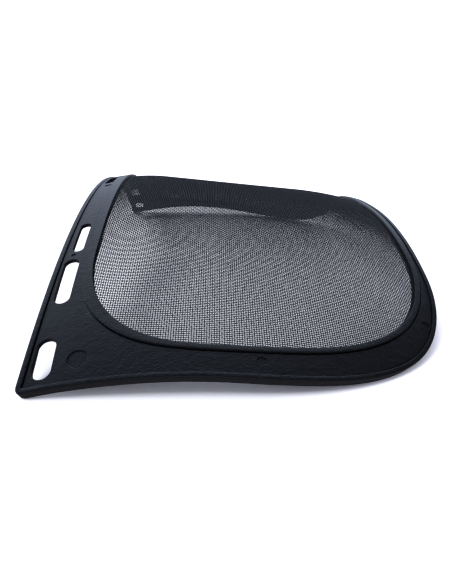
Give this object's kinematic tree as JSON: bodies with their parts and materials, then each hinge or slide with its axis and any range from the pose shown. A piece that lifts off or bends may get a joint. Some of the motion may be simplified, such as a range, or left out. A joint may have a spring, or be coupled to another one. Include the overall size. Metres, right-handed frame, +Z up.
{
  "type": "mesh face shield",
  "caption": "Arched face shield: a black moulded plastic frame with headgear slots along its brow edge, holding a woven wire screen.",
  "frame": {"origin": "middle of the bounding box, on the table that the shield's edges rest on", "axes": "+X from the brow edge to the chin edge, +Y across the face from ear to ear, +Z up, away from the face"},
  "size_m": [0.1916, 0.3528, 0.0606],
  "materials": {
    "frame_plastic": "fine moulded texture, satin black",
    "screen_wire": "black coated plain-weave wire"
  },
  "bodies": {
    "root": {"frame": "frame_plastic", "mesh_screen": "screen_wire"}
  },
  "joints": []
}
